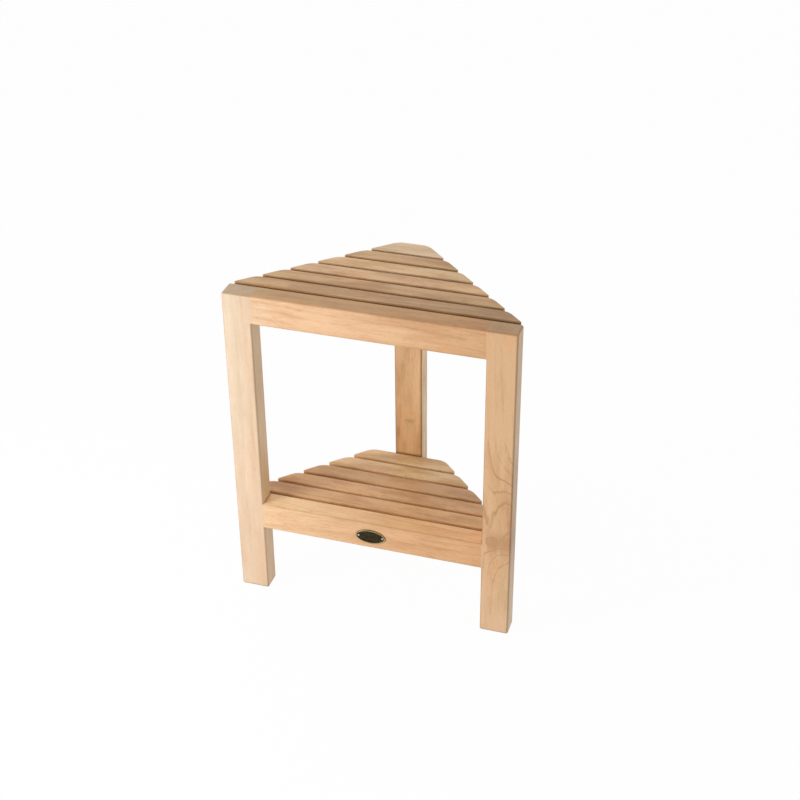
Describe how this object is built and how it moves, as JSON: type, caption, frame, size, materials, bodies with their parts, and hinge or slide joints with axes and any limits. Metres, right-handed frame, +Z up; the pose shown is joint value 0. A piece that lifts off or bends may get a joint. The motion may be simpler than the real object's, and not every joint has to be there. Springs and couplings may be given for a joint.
{
  "type": "shower foot rest",
  "caption": "Corner shower stool of solid teak: triangular slatted top and shelf on square legs, used as a foot rest and to keep things on.",
  "frame": {"origin": "middle of the stool's plan box, on the floor", "axes": "+Z up, -Y the long front side, +Y towards the corner of the walls, X along the front"},
  "size_m": [0.38, 0.2, 0.458],
  "materials": {
    "teak_frame": "sanded, unfinished",
    "teak_side_rails": "sanded, unfinished",
    "teak_slats": "sanded, unfinished",
    "hardwood_dowels": "turned, plain",
    "stainless_screws": "plain stainless",
    "badge_metal": "dark stained field, brushed rim",
    "tack_metal": "polished"
  },
  "bodies": {
    "root": {"left_front_leg": "teak_frame", "right_front_leg": "teak_frame", "back_leg": "teak_frame", "top_front_rail": "teak_frame", "shelf_front_rail": "teak_frame", "top_left_side_rail": "teak_side_rails", "top_right_side_rail": "teak_side_rails", "shelf_left_side_rail": "teak_side_rails", "shelf_right_side_rail": "teak_side_rails", "top_slat_1": "teak_slats", "top_slat_2": "teak_slats", "top_slat_3": "teak_slats", "top_slat_4": "teak_slats", "top_slat_5": "teak_slats", "shelf_slat_1": "teak_slats", "shelf_slat_2": "teak_slats", "shelf_slat_3": "teak_slats", "shelf_slat_4": "teak_slats", "shelf_slat_5": "teak_slats", "top_corner_slat": "teak_slats", "top_side_rail_dowels": "hardwood_dowels", "shelf_side_rail_dowels": "hardwood_dowels", "corner_slat_dowels": "hardwood_dowels", "top_slat_screws": "stainless_screws", "shelf_slat_screws": "stainless_screws", "badge_plate": "badge_metal", "badge_tacks": "tack_metal"}
  },
  "joints": []
}
